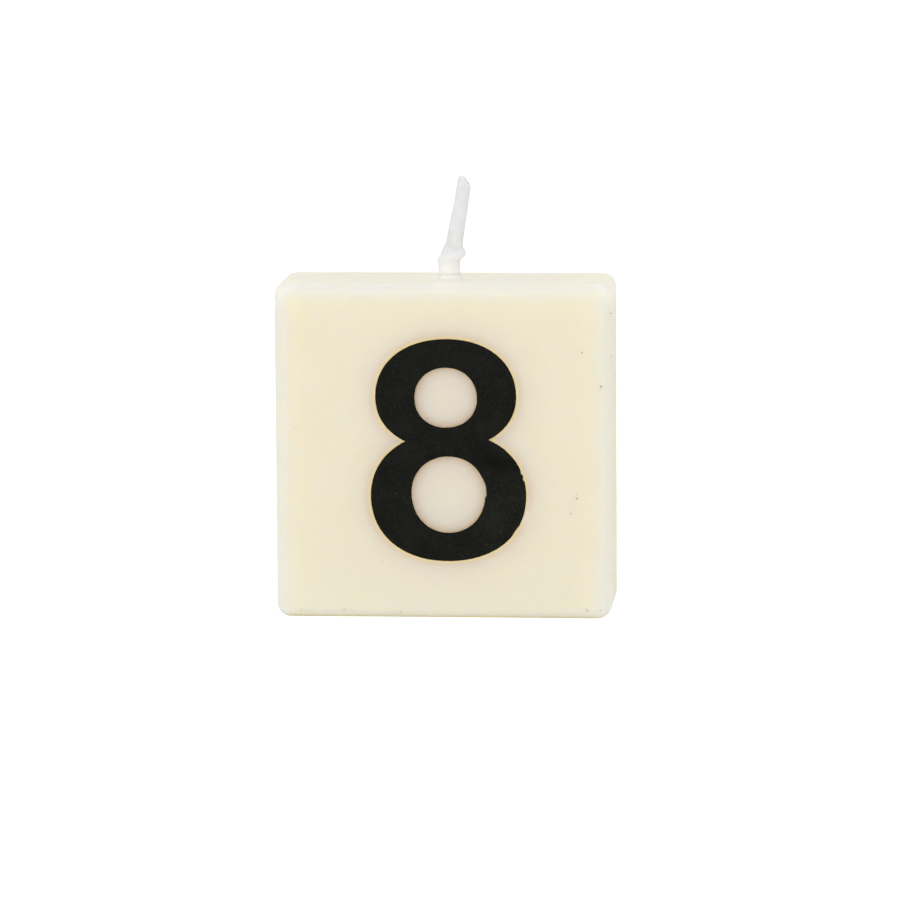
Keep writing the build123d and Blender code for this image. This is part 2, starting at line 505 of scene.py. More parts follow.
def new_object(name, points, faces):
    """An object in the scene with a mesh of these points and faces."""
    mesh = bpy.data.meshes.new(name)
    mesh.from_pydata(np.asarray(points).tolist(), [], faces)
    item = bpy.data.objects.new(name, mesh)
    bpy.context.scene.collection.objects.link(item)
    return item


def new_piece(name, points, faces, material, replaces):
    """A smooth piece from points in millimetres, standing for a CAD node and riding on the candle."""
    piece = new_object(name, np.asarray(points) * MM, faces)
    piece.data.shade_smooth()
    piece.data.materials.append(material)
    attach(piece, "root")
    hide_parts(replaces)
    return piece


def add_attribute(piece, name, values):
    """One number for each point of a piece, for its material to read."""
    attribute = piece.data.attributes.new(name, "FLOAT", "POINT")
    attribute.data.foreach_set("value", np.asarray(values, np.float32))


def fractal(points, size, seed, octaves=3):
    """Smooth noise from about -1 to 1 at points in millimetres, with features about size across."""
    shift = Vector((seed * 17.3, seed * 9.1, seed * 5.7))
    return np.array([noise.fractal(Vector(p) / size + shift, 1.0, 2.0, octaves) for p in points])


def joined(shells):
    """Points and faces of several shells as one list of each."""
    points, faces = [], []
    for shell_points, shell_faces in shells:
        start = len(points)
        points.extend(np.asarray(shell_points).tolist())
        faces.extend(tuple(start + k for k in face) for face in shell_faces)
    return np.array(points), faces


def reshaped(shell, add_modifiers):
    """Points, faces and point normals of a shell after modifiers. One unit is a millimetre here."""
    shape = new_object("shape", *shell)
    add_modifiers(shape)
    result = shape.evaluated_get(bpy.context.evaluated_depsgraph_get()).to_mesh()
    new_points = np.array([v.co[:] for v in result.vertices])
    normals = np.array([v.vector[:] for v in result.vertex_normals])
    new_faces = [tuple(p.vertices) for p in result.polygons]
    bpy.data.objects.remove(shape)
    return new_points, new_faces, normals


def fused(shells, voxel, smoothing):
    """One closed skin round overlapping closed shells, its creases softened."""

    def remesh_and_smooth(shape):
        remesh = shape.modifiers.new("remesh", "REMESH")
        remesh.mode = "VOXEL"
        remesh.voxel_size = voxel
        smooth = shape.modifiers.new("smooth", "SMOOTH")
        smooth.factor = 0.5
        smooth.iterations = smoothing

    return reshaped(joined(shells), remesh_and_smooth)


def ring_faces(rings, sides):
    """Faces between rings of points, each with so many sides, and over the first and the last ring."""
    faces = []
    for i in range(rings - 1):
        for k in range(sides):
            a, b = i * sides + k, i * sides + (k + 1) % sides
            faces.append((a, b, b + sides, a + sides))
    last = (rings - 1) * sides
    faces.append(tuple(reversed(range(sides))))
    faces.append(tuple(range(last, last + sides)))
    return faces


def tube(path, radii, across, sides=32, flatness=1.0):
    """A closed tube along a path with a radius at each point. across is a direction that isn't the path's."""
    path, radii = np.asarray(path, float), np.broadcast_to(radii, len(path))
    along = np.gradient(path, axis=0)
    along /= np.linalg.norm(along, axis=1)[:, None]
    first = np.cross(along, across)
    first /= np.linalg.norm(first, axis=1)[:, None]
    second = np.cross(along, first)
    turn = np.linspace(0, 2 * math.pi, sides, endpoint=False)
    rings = (
        path[:, None]
        + radii[:, None, None] * np.cos(turn)[:, None] * first[:, None]
        + radii[:, None, None] * flatness * np.sin(turn)[:, None] * second[:, None]
    )
    return rings.reshape(-1, 3), ring_faces(len(path), sides)


def cut_off(shell, place, normal):
    """Cuts away what lies beyond a plane and closes the cut."""
    points, faces = shell
    mesh = bpy.data.meshes.new("cut")
    mesh.from_pydata(np.asarray(points).tolist(), [], faces)
    form = bmesh.new()
    form.from_mesh(mesh)
    parts = form.verts[:] + form.edges[:] + form.faces[:]
    cut = bmesh.ops.bisect_plane(form, geom=parts, plane_co=place, plane_no=normal, clear_outer=True)
    rim = [part for part in cut["geom_cut"] if isinstance(part, bmesh.types.BMEdge)]
    bmesh.ops.contextual_create(form, geom=rim)
    form.verts.index_update()
    new_points = [v.co[:] for v in form.verts]
    new_faces = [tuple(v.index for v in face.verts) for face in form.faces]
    form.free()
    bpy.data.meshes.remove(mesh)
    return new_points, new_faces


def turned(profile, centre, sides=72, wobble=None):
    """A closed solid from a profile of radii and heights turned round an upright axis through centre.

    wobble gives what the radii are multiplied by at each angle.
    """
    turn = np.linspace(0, 2 * math.pi, sides, endpoint=False)
    scale = np.ones(sides) if wobble is None else wobble(turn)
    points = []
    for radius, height in profile:
        points += [
            (centre[0] + radius * s * math.cos(t), centre[1] + radius * s * math.sin(t), centre[2] + height)
            for t, s in zip(turn, scale)
        ]
    return np.array(points), ring_faces(len(profile), sides)


# ---------------------------------------------------------------- numeral outline

NUMERAL_WAIST = (0.46, 18.65)
NUMERAL_TILT = 1.3
UPPER_BOWL = {"centre": 4.63, "half_width": 7.30, "rise": 6.02, "drop": 5.45, "fullness": 0.60}
LOWER_BOWL = {"centre": -5.70, "half_width": 8.06, "rise": 6.64, "drop": 6.83, "fullness": 0.60}
UPPER_COUNTER = {"centre": 4.49, "half_width": 3.24, "rise": 3.19, "drop": 3.06, "fullness": 0.58}
LOWER_COUNTER = {"centre": -5.43, "half_width": 3.83, "rise": 3.85, "drop": 4.14, "fullness": 0.58}
QUARTER_STEPS = 80

# Patches on the front face: x, z, half width, half height and slope. The film has a dull dark one, a scuffed
# one and a paler grey one. Then a patch of painted light on the wax beside the film's right edge.
FILM_PATCHES = {
    "dulled": (5.55, 16.45, 2.3, 1.1, -0.25),
    "scuffed": (4.8, 26.9, 1.5, 0.9, -0.2),
    "paler_patch": (6.3, 10.6, 2.6, 4.2, 0.0),
}
LIT_RIM_PATCH = (8.7, 10.8, 1.2, 1.2, 0.0)

# Small losses in the film's edge: x, z, half length and depth, all in millimetres on the front face
NICKS = [
    (8.42, 14.75, 0.22, 0.07),
    (8.15, 15.42, 0.26, 0.06),
    (4.40, 13.85, 1.10, 0.08),
    (4.52, 13.10, 0.30, 0.05),
    (7.60, 9.30, 0.60, 0.04),
    (-6.76, 23.68, 0.14, 0.06),
]


def quarter_round(centre, half_width, reach, fullness):
    """Points on a quarter of a round, from its side to its top, or to its bottom if reach is negative."""
    t = np.linspace(0, 1, QUARTER_STEPS + 1)[:, None]
    side = np.array([half_width, centre])
    side_pull = np.array([half_width, centre + fullness * reach])
    end_pull = np.array([fullness * half_width, centre + reach])
    end = np.array([0.0, centre + reach])
    return (1 - t) ** 3 * side + 3 * t * (1 - t) ** 2 * side_pull + 3 * t**2 * (1 - t) * end_pull + t**3 * end


def right_half(centre, half_width, rise, drop, fullness):
    """The right half of a round, from its bottom to its top."""
    lower = quarter_round(centre, half_width, -drop, fullness)[::-1]
    upper = quarter_round(centre, half_width, rise, fullness)
    return np.vstack([lower, upper[1:]])


def closed_round(half):
    """A whole outline, anticlockwise from the bottom, from its right half."""
    left = half[::-1][1:-1] * (-1, 1)
    return np.vstack([half, left])


def joined_bowls():
    """The numeral's outer outline: both bowls as one, with a sharp notch on each side of the waist."""
    lower, upper = right_half(**LOWER_BOWL), right_half(**UPPER_BOWL)
    heights = np.linspace(upper[0, 1], lower[-1, 1], 2000)
    lower_side = lower[lower[:, 1] >= LOWER_BOWL["centre"]]
    upper_side = upper[upper[:, 1] <= UPPER_BOWL["centre"]]
    lower_x = np.interp(heights, lower_side[:, 1], lower_side[:, 0])
    upper_x = np.interp(heights, upper_side[:, 1], upper_side[:, 0])
    at = np.argmin(np.abs(lower_x - upper_x))
    notch = np.array([[lower_x[at], heights[at]]])
    half = np.vstack([lower[lower[:, 1] < heights[at]], notch, upper[upper[:, 1] > heights[at]]])
    return closed_round(half)


def on_tile(points):
    """Turns and moves points of the numeral to their place on the front face, as x and z."""
    turn = math.radians(NUMERAL_TILT)
    x = points[:, 0] * math.cos(turn) - points[:, 1] * math.sin(turn)
    z = points[:, 0] * math.sin(turn) + points[:, 1] * math.cos(turn)
    return np.column_stack([x + NUMERAL_WAIST[0], z + NUMERAL_WAIST[1]])


def in_space(flat):
    """Points given as x and z, with a y of 0."""
    return np.column_stack([flat[:, 0], np.zeros(len(flat)), flat[:, 1]])


def lattice(step):
    """Points step apart all over the numeral, as x and z."""
    x, z = np.meshgrid(np.arange(-9, 10, step), np.arange(4, 32, step))
    return np.column_stack([x.ravel(), z.ravel()])


def outward(loop):
    """Unit normals of a closed loop that runs anticlockwise round what it encloses."""
    along = np.roll(loop, -1, axis=0) - np.roll(loop, 1, axis=0)
    along /= np.linalg.norm(along, axis=1)[:, None]
    return np.column_stack([along[:, 1], -along[:, 0]])


def printed(loop, ink_side):
    """An outline as the ink left it, uneven and nicked. ink_side is -1 if the ink lies inside it."""
    spots = in_space(loop)
    shift = 0.008 * fractal(spots, 1.6, 3) + 0.012 * fractal(spots, 0.30, 4, 2)
    for x, z, half_length, depth in NICKS:
        near = np.clip(1 - (np.hypot(loop[:, 0] - x, loop[:, 1] - z) / half_length) ** 2, 0, 1)
        shift = shift + ink_side * depth * near
    return loop + shift[:, None] * outward(loop)


outer_outline = printed(on_tile(joined_bowls()), -1)
counters = (UPPER_COUNTER, LOWER_COUNTER)
counter_outlines = [printed(on_tile(closed_round(right_half(**c))), 1) for c in counters]
outlines = [outer_outline, *counter_outlines]


def ink_depth(points):
    """Distance from points on the front face to the nearest edge of the ink: positive under the ink."""
    nearest = np.full(len(points), np.inf)
    crossings = np.zeros(len(points), int)
    for loop in outlines:
        for a, b in zip(loop, np.roll(loop, -1, axis=0)):
            step = b - a
            t = np.clip(((points - a) @ step) / (step @ step), 0, 1)
            nearest = np.minimum(nearest, np.hypot(*(points - a - t[:, None] * step).T))
            if a[1] != b[1]:
                spans = (a[1] > points[:, 1]) != (b[1] > points[:, 1])
                crossings += spans & (a[0] + step[0] * (points[:, 1] - a[1]) / step[1] > points[:, 0])
    return np.where(crossings % 2 == 1, nearest, -nearest)


# ---------------------------------------------------------------- wax tile

CORNER_RADIUS = 1.4
BASE_RIGHT_RADIUS = 1.6
FRONT_EDGE_RADIUS = 1.3
BACK_EDGE_RADIUS = 0.5
MOULD_DRAFT = 0.17
DISH_DEPTH = 0.2
DISH_RADIUS = 15.0
CHANNEL_RADIUS = 0.775

# The mesh of each face: steps over a rounded edge, then flat grid lines from this far inside the outline
EDGE_STEPS = 8
CORNER_LINE = 1.8
GRID_STEP = 0.3

# Rings on the pour side, in millimetres from crest to crest, and how far they wander from round
RIPPLE_LENGTH = 3.8
RIPPLE_WANDER = 1.6

# The painted highlight arc inside each top corner: its radius and its inset from the outline. Then the arcs'
# half width
LEFT_HIGHLIGHT_ARC = (2.15, 0.38)
RIGHT_HIGHLIGHT_ARC = (1.70, 0.18)
HIGHLIGHT_ARC_HALF_WIDTH = 0.28

# A painted reflection of the wick lies on the top face and runs a little way down the front: its middle lies
# left of the wick
REFLECTION_SHIFT = 0.15
REFLECTION_HALF_WIDTH = 1.0
REFLECTION_RUN = 1.6

# On the top face the wax is changed as far as this from the wick's middle, painted lighter against the shade
# round the wick's foot, and the change fades out after it
SEAL_REACH = 1.6
SEAL_FADE = 1.5
WICK_REACH = 3.6

# How deep the skins of the top face and of the pour side are, and what stands for no ink nearby
TOP_SKIN = 0.6
POUR_SKIN = 0.5
FAR_FROM_INK = 10.0

# Ink counts towards a point's share of ink over this distance, and is counted on a lattice with this step
INK_REACH = 2.2
INK_STEP = 0.4

# A crumb's outline from below its surface outwards: radius and height as shares of its size
CRUMB_PROFILE = [(0.35, -0.3), (1.0, -0.05), (0.8, 0.18), (0.3, 0.25)]

# An orange crumb and dark crumbs in the skin of the front face: x, z, size
ORANGE_CRUMBS = [(-8.73, 17.05, 0.105)]
CRUMBS = [
    (17.40, 31.95, 0.105),
    (17.42, 27.5, 0.085),
    (14.47, 27.96, 0.078),
    (16.42, 24.44, 0.086),
    (13.90, 12.75, 0.078),
    (13.28, 11.18, 0.062),
    (9.79, 19.41, 0.062),
    (-15.31, 19.94, 0.058),
    (-9.58, 21.53, 0.058),
    (-9.32, 20.90, 0.047),
    (-16.53, 2.30, 0.062),
    (-14.87, 0.74, 0.060),
    (-10.38, 0.87, 0.070),
    (-4.44, 0.69, 0.070),
    (12.63, 2.80, 0.055),
    (14.90, 1.03, 0.070),
    (16.35, 1.04, 0.062),
    (-5.32, 34.55, 0.055),
]


def line_places(length):
    """Distances of the face's grid lines from its lower edge: close together over the rounded edges."""
    turn = np.linspace(0, math.pi / 2, EDGE_STEPS + 1)
    rounded = FRONT_EDGE_RADIUS * (1 - np.cos(turn))
    count = round((length - 2 * CORNER_LINE) / GRID_STEP)
    flat = np.linspace(CORNER_LINE, length - CORNER_LINE, count + 1)
    return np.concatenate([rounded, flat, length - rounded[::-1]])


def face_grid(edge_radius, outer_y, inward):
    """A face of the tile with its rounded rim, as a grid of points. inward is the way of y into the wax."""
    across, up = line_places(tile_width), line_places(tile_height)
    turn = np.linspace(0, math.pi / 2, EDGE_STEPS + 1)
    insets = np.append(edge_radius * (1 - np.cos(turn)), CORNER_LINE)
    depths = np.append(edge_radius * (1 - np.sin(turn)), 0.0)
    rim = EDGE_STEPS + 1
    column, row = np.meshgrid(np.arange(len(across)), np.arange(len(up)), indexing="ij")
    column_in = np.minimum(column, len(across) - 1 - column)
    row_in = np.minimum(row, len(up) - 1 - row)
    ring = np.minimum(np.minimum(column_in, row_in), rim)
    inset = insets[ring]

    def along(places, index, index_in, length):
        """Place along a ring: grid lines near a corner are drawn in with the ring."""
        near = np.minimum(places[index], length - places[index])
        start = across[ring]
        share = np.where(ring < rim, (near - start) / (CORNER_LINE - start + (ring == rim)), 0)
        drawn = inset + (CORNER_LINE - inset) * share
        near = np.where((index_in <= rim) & (ring < rim), drawn, near)
        return np.where(index * 2 < len(places), near, length - near)

    x = along(across, column, column_in, tile_width) - tile_width / 2
    z = along(up, row, row_in, tile_height)
    corner = corner_radius(x, z)
    inner_x = np.clip(x, -tile_width / 2 + corner, tile_width / 2 - corner)
    inner_z = np.clip(z, corner, tile_height - corner)
    reach = np.hypot(x - inner_x, z - inner_z)
    scale = np.where(reach > 1e-9, (corner - inset) / np.maximum(reach, 1e-9), 0)
    in_rim = (ring < rim) & (reach > 1e-9)
    x = np.where(in_rim, inner_x + (x - inner_x) * scale, x)
    z = np.where(in_rim, inner_z + (z - inner_z) * scale, z)
    y = outer_y + inward * depths[ring]
    return np.stack([x, y, z], axis=-1)


def corner_radius(x, z):
    """Radius of the tile's corner nearest to points on its outline."""
    return np.where((x < 0) | (z > tile_height / 2), CORNER_RADIUS, BASE_RIGHT_RADIUS)


def border(columns, rows):
    """Grid indices round the border of a face, anticlockwise seen from the front."""
    bottom = [(i, 0) for i in range(columns - 1)]
    right = [(columns - 1, j) for j in range(rows - 1)]
    top = [(i, rows - 1) for i in range(columns - 1, 0, -1)]
    left = [(0, j) for j in range(rows - 1, 0, -1)]
    return bottom + right + top + left


def tile_block():
    """Points and faces of the whole tile: front grid, back grid and the band of sides between them."""
    front = face_grid(FRONT_EDGE_RADIUS, front_y, 1)
    back = face_grid(BACK_EDGE_RADIUS, back_y, -1)
    columns, rows = front.shape[:2]
    points = np.vstack([front.reshape(-1, 3), back.reshape(-1, 3)])
    back_start = columns * rows
    faces = []
    for i in range(columns - 1):
        for j in range(rows - 1):
            a, b = i * rows + j, (i + 1) * rows + j
            faces.append((a, b, b + 1, a + 1))
            faces.append((back_start + a, back_start + a + 1, back_start + b + 1, back_start + b))
    ring = [i * rows + j for i, j in border(columns, rows)]
    back_ring = [back_start + k for k in ring]
    bands = round((tile_depth - FRONT_EDGE_RADIUS - BACK_EDGE_RADIUS) / GRID_STEP)
    previous = ring
    for band in range(1, bands + 1):
        if band < bands:
            share = band / bands
            start = len(points)
            between = points[ring] * (1 - share) + points[back_ring] * share
            points = np.vstack([points, between])
            current = list(range(start, start + len(ring)))
        else:
            current = back_ring
        for k in range(len(ring)):
            after = (k + 1) % len(ring)
            faces.append((previous[k], current[k], current[after], previous[after]))
        previous = current
    return points, faces


def cast_relief(points):
    """How far the real skin lies inside the drawn block: soft waves all over, and the sunken pour side."""
    x, y, z = points.T
    soft = 0.022 + 0.016 * fractal(points, 9.0, 1) + 0.007 * fractal(points, 2.2, 2)
    soft = np.clip(soft, 0.0, None)
    on_left = x < -tile_width / 2 + 0.01
    soft += MOULD_DRAFT * np.clip(1 - z / tile_height, 0, 1) * on_left
    soft *= np.where(z < 0.01, 0.15, 1.0)
    from_middle = np.hypot(x, z - tile_height / 2)
    on_back = y > back_y - 0.01
    dish = DISH_DEPTH * np.clip(1 - (from_middle / DISH_RADIUS) ** 2, 0, 1)
    wrinkle = 0.045 * np.abs(fractal(points, 3.0, 6, 3))
    sunk = np.clip(dish + 0.035 * pour_ripple(points) + wrinkle, 0.0, None)
    return soft + np.where(on_back, sunk, 0.0)


def pour_ripple(points):
    """Rings from -1 to 1 round the middle of the pour side, left as the skin of the wax set and sank."""
    x, _, z = points.T
    from_middle = np.hypot(x, z - tile_height / 2)
    wander = from_middle + RIPPLE_WANDER * fractal(points * (1, 0, 1), 7.0, 5)
    strength = np.clip(from_middle / 5 - 0.3, 0, 1) * np.clip(1.15 - from_middle / 17, 0, 1)
    return np.cos(wander * 2 * math.pi / RIPPLE_LENGTH) * strength


def crumbs(places):
    """Small flat uneven flakes pressed into the front face."""
    shells = []
    for seed, (x, z, size) in enumerate(places):

        def uneven(turn, phase=seed):
            return 1 + 0.3 * np.cos(2 * turn + phase) + 0.15 * np.sin(3 * turn + 2 * phase)

        points, faces = turned([(r * size, h * size) for r, h in CRUMB_PROFILE], (0, 0, 0), 9, uneven)
        across = np.clip(x + points[:, 0], tile_low[0], tile_high[0])
        y = front_surface(x, z) - points[:, 2]
        shells.append((np.column_stack([across, y, z + points[:, 1]]), faces))
    return joined(shells)


def corner_highlight(points):
    """1 along a painted highlight arc inside each top corner of the front, and 0 elsewhere."""
    x, y, z = points.T
    radius, inset = np.where(x < 0, np.array([LEFT_HIGHLIGHT_ARC]).T, np.array([RIGHT_HIGHLIGHT_ARC]).T)
    right = np.abs(x) - (tile_width / 2 - inset - radius)
    up = z - (tile_height - inset - radius)
    out = (np.hypot(right, up) - radius) / HIGHLIGHT_ARC_HALF_WIDTH
    ends = np.clip((np.minimum(right, up) + 0.1) / 0.5, 0, 1)
    return np.exp(-(out**2)) * ends * (y < front_y + FRONT_EDGE_RADIUS)


def front_surface(x, z):
    """y of the front of the tile at x and z, over its rounded rim too."""
    from_rim = min(tile_width / 2 - abs(x), z, tile_height - z)
    inset = max(FRONT_EDGE_RADIUS - from_rim, 0.0)
    return front_y + 0.03 + FRONT_EDGE_RADIUS - math.sqrt(FRONT_EDGE_RADIUS**2 - inset**2)


def drilled(shell, tools):
    """A shell with the tools, which are shells too, cut out of it."""
    bits = [new_object("drill", *tool) for tool in tools]

    def drill(shape):
        for bit in bits:
            cut = shape.modifiers.new("drill", "BOOLEAN")
            cut.operation = "DIFFERENCE"
            cut.solver = "EXACT"
            cut.object = bit

    points, faces, _ = reshaped(shell, drill)
    for bit in bits:
        bpy.data.objects.remove(bit)
    return points, faces


def make_tile():
    """The tile with its cast skin, the wick's channel, the plug's recess and the crumbs in its face."""
    block, faces = tile_block()
    _, _, normals = reshaped((block, faces), lambda shape: None)
    skin = block - normals * cast_relief(block)[:, None]
    foot = (wick_x, 0, 0)
    recess = turned([(plug_radius, -1.0), (plug_radius, plug_height)], foot)
    channel = turned([(CHANNEL_RADIUS, plug_height - 0.5), (CHANNEL_RADIUS, tile_height + 1)], foot, 48)
    wax = drilled((skin, faces), (recess, channel))
    dark, orange = crumbs(CRUMBS), crumbs(ORANGE_CRUMBS)
    points, faces = joined([wax, dark, orange])
    piece = new_piece("tile_of_wax", points, faces, wax_material(), "wax_tile")
    piece.data.set_sharp_from_angle(angle=math.radians(50))
    number = np.arange(len(points)) - len(wax[0])
    add_attribute(piece, "crumb", (number >= 0) & (number < len(dark[0])))
    add_attribute(piece, "orange_crumb", number >= len(dark[0]))
    for name, values in tile_marks(points).items():
        add_attribute(piece, name, values)


def tile_marks(points):
    """What the wax's material reads at each point of the tile, by name."""
    x, y, z = points.T
    from_side = tile_width / 2 - np.abs(x)
    from_rim = np.minimum(from_side, tile_height - z)
    from_front = y - front_y - FRONT_EDGE_RADIUS
    from_back = back_y - y - BACK_EDGE_RADIUS
    poured = y > back_y - POUR_SKIN
    across = (x - wick_x + REFLECTION_SHIFT) / REFLECTION_HALF_WIDTH
    down = (tile_height - z) / REFLECTION_RUN
    in_front = np.clip((1.0 - y) / 1.5, 0, 1)
    on_top = z > tile_height - TOP_SKIN
    from_wick = np.hypot(x - wick_x, y)
    past_seal = np.clip(from_wick - SEAL_REACH, 0, None) / SEAL_FADE
    on_front = y < front_y + 0.5 * FRONT_EDGE_RADIUS
    flat = points[on_front][:, [0, 2]]

    def on_face(values, elsewhere=0.0):
        """Values for the points of the front face, and the same number for all others."""
        every = np.full(len(points), elsewhere)
        every[on_front] = values
        return every

    return {
        "edge_distance": from_rim - np.clip(np.minimum(from_front, from_back), 0, None),
        "corner_highlight": corner_highlight(points),
        "poured": poured,
        "pour_ripple": poured * (0.5 + 0.5 * pour_ripple(points)),
        "ink_distance": on_face(np.abs(ink_depth(flat)), FAR_FROM_INK),
        "ink_share": on_face(ink_share(flat)),
        "in_counter": on_face(in_counter(flat)),
        "lit_rim_patch": on_face(within_patch(flat, LIT_RIM_PATCH)),
        # a painted reflection of the wick on the top face and the front's top edge
        "wick_reflection": np.exp(-(across**2)) * np.clip(1 - down, 0, 1) * in_front,
        # painted light beside the seal and round the wick
        "lightened_beside_seal": np.clip(1 - past_seal, 0, 1) ** 2 * on_top,
        "lightened_near_wick": np.exp(-((from_wick / WICK_REACH) ** 2)) * on_top,
    }


def in_counter(points):
    """1 for points on the front face within one of the numeral's counters."""
    inside = np.zeros(len(points))
    for loop in counter_outlines:
        middle, half = (loop.max(0) + loop.min(0)) / 2, (loop.max(0) - loop.min(0)) / 2
        inside += (((points - middle) / half) ** 2).sum(1) < 1.1
    return inside


def ink_share(points):
    """How much of what lies within a few millimetres of each point is ink."""
    spots = lattice(INK_STEP)
    total = np.zeros(len(points))
    for spot in spots[ink_depth(spots) > 0]:
        total += np.exp(-((points - spot) ** 2).sum(1) / (2 * INK_REACH**2))
    return total * INK_STEP**2 / (2 * math.pi * INK_REACH**2)


# ---------------------------------------------------------------- numeral film

# The film's rounded edge: distance in from the outline, and the share of FILM_EDGE_DROP that it drops there
FILM_ROUND = [(0.0, 1.0), (0.02, 0.5), (0.06, 0.13), (0.12, 0.0)]
FILM_EDGE_DROP = 0.05
FILM_SUNK = 0.10
FILM_GRID_STEP = 0.35


def flat_film():
    """The film drawn flat: points as x and z, triangles, and the ring of points along each outline."""
    flat_points, edges, rings = [], [], []
    for number, loop in enumerate(outlines):
        start = len(flat_points)
        flat_points.extend(loop.tolist())
        edges.extend((start + k, start + (k + 1) % len(loop)) for k in range(len(loop)))
        ring = list(range(start, start + len(loop)))
        rings.append(ring if number == 0 else ring[::-1])
    for inset, _ in FILM_ROUND[1:]:
        for number, loop in enumerate(outlines):
            moved = loop + outward(loop) * (-inset if number == 0 else inset)
            flat_points.extend(moved[ink_depth(moved) > 0.8 * inset].tolist())
    inner = lattice(FILM_GRID_STEP)
    flat_points.extend(inner[ink_depth(inner) > 0.3].tolist())
    found = geometry.delaunay_2d_cdt([Vector(p) for p in flat_points], edges, [], 0, 1e-6)
    spots, triangles = np.array([p[:] for p in found[0]]), found[2]
    middles = np.array([spots[list(t)].mean(0) for t in triangles])
    return spots, [tuple(t) for t, depth in zip(triangles, ink_depth(middles)) if depth > 0], rings


def make_film():
    """The film as a thin closed sheet whose edge is a little rounded and whose face is not quite flat."""
    spots, triangles, rings = flat_film()
    depth = np.clip(ink_depth(spots), 0, None)
    drop = FILM_EDGE_DROP * np.interp(depth, *zip(*FILM_ROUND))
    sag = np.clip(0.012 + 0.010 * fractal(in_space(spots), 2.8, 8), 0, None)
    lid = np.column_stack([spots[:, 0], film_low[1] + sag + drop, spots[:, 1]])
    floor = np.column_stack([spots[:, 0], np.full(len(spots), front_y + FILM_SUNK), spots[:, 1]])
    count = len(spots)
    faces = triangles + [tuple(count + k for k in reversed(t)) for t in triangles]
    for ring in rings:
        for a, b in zip(ring, ring[1:] + ring[:1]):
            faces.append((b, a, a + count, b + count))
    points = np.vstack([lid, floor])
    piece = new_piece("black_numeral", points, faces, film_material(), "numeral_8")
    piece.data.set_sharp_from_angle(angle=math.radians(60))

    # pale at the nicks: partly wear of the film, partly a painted highlight where its lifted edge catches
    # light
    nick_wear_and_glint_share = np.zeros(count)
    for x, z, half_length, _ in NICKS:
        near = np.clip(1.2 - np.hypot(spots[:, 0] - x, spots[:, 1] - z) / half_length, 0, 1)
        nick_wear_and_glint_share = np.maximum(nick_wear_and_glint_share, near * np.clip(1 - depth / 0.07, 0, 1))
    add_attribute(piece, "nick_wear_and_glint", np.tile(nick_wear_and_glint_share, 2))
    for name, patch in FILM_PATCHES.items():
        add_attribute(piece, name, np.tile(within_patch(spots, patch), 2))


def within_patch(points, patch):
    """From 1 in the middle of a sloping oval patch to 0 outside it, with a ragged edge."""
    x, z, half_width, half_height, slope = patch
    right, up = points[:, 0] - x, points[:, 1] - z
    up = up - slope * right
    ragged = 0.35 * fractal(in_space(points), 1.2, 21)
    return np.clip(1.25 - np.hypot(right / half_width, up / half_height) + ragged, 0, 1)


# ---------------------------------------------------------------- wick, seal and plug

LEAN = 9.35
BEND_ABOVE_WAX = 0.6
TIP_ABOVE_WAX = 10.53
TIP_LEVEL_WIDTH = 0.66
TIP_SLANT = 55.0
WICK_VOXEL = 0.055

# The wick's radius at heights above the wax: thicker just over the knot, thinner near the tip
WICK_RADII = [(-1.0, 0.78), (3.2, 0.93), (4.0, 0.905), (5.0, 0.875), (7.1, 0.805), (8.2, 0.78), (10.7, 0.76)]

# The knot's packed middle: height above the wax, distance to the right of the wick's foot, and radius
KNOT_CORE = [
    (-0.6, -0.12, 1.14),
    (1.2, -0.10, 1.15),
    (1.7, -0.02, 1.15),
    (2.6, 0.14, 1.05),
    (3.1, 0.26, 0.95),
    (3.5, 0.38, 0.75),
]

# The tied strand winds up round the wick: angle from the right, height above the wax, distance from the
# wick's middle, and its own radius
KNOT = [
    (-205, 0.10, 0.45, 0.50),
    (-180, 0.22, 0.60, 0.56),
    (-90, 0.42, 0.66, 0.57),
    (0, 0.62, 0.62, 0.55),
    (90, 1.15, 0.74, 0.55),
    (150, 1.55, 0.86, 0.54),
    (180, 1.72, 0.93, 0.54),
    (270, 2.15, 0.86, 0.58),
    (360, 2.62, 0.90, 0.56),
    (450, 2.85, 0.75, 0.52),
    (540, 2.60, 0.58, 0.56),
    (600, 3.05, 0.25, 0.45),
]


def wick_middle(above_wax):
    """Middle of the wick at heights above the wax: upright at first, then leaning to the right."""
    above_wax = np.asarray(above_wax, float)
    past = above_wax - BEND_ABOVE_WAX
    lean = math.tan(math.radians(LEAN)) * (past + np.sqrt(past**2 + 0.4)) / 2
    sway = 0.025 * np.sin(above_wax * 0.9 + 0.6) * np.clip(above_wax / 3, 0, 1)
    return np.column_stack([wick_x + lean + sway, 0.6 * sway, tile_height + above_wax])


def tip_cuts():
    """The level and the slanting cut at the wick's tip: a place on each, and the way out of the wick."""
    tip = wick_middle([TIP_ABOVE_WAX])[0]
    corner = tip + (TIP_LEVEL_WIDTH - WICK_RADII[-1][1] / math.cos(math.radians(LEAN)), 0, 0)
    slant = math.radians(TIP_SLANT)
    return (tip, (0, 0, 1)), (corner, (math.sin(slant), 0, math.cos(slant)))


def stem_shell():
    """The wick without its knot, from just inside the tile to its snipped tip."""
    heights = np.linspace(-1.0, 12.5, 90)
    radii = np.interp(heights, *zip(*WICK_RADII))
    stem = tube(wick_middle(heights), radii, (0, 1, 0), flatness=0.95)
    for place, way_out in tip_cuts():
        stem = cut_off(stem, place, way_out)
    return stem


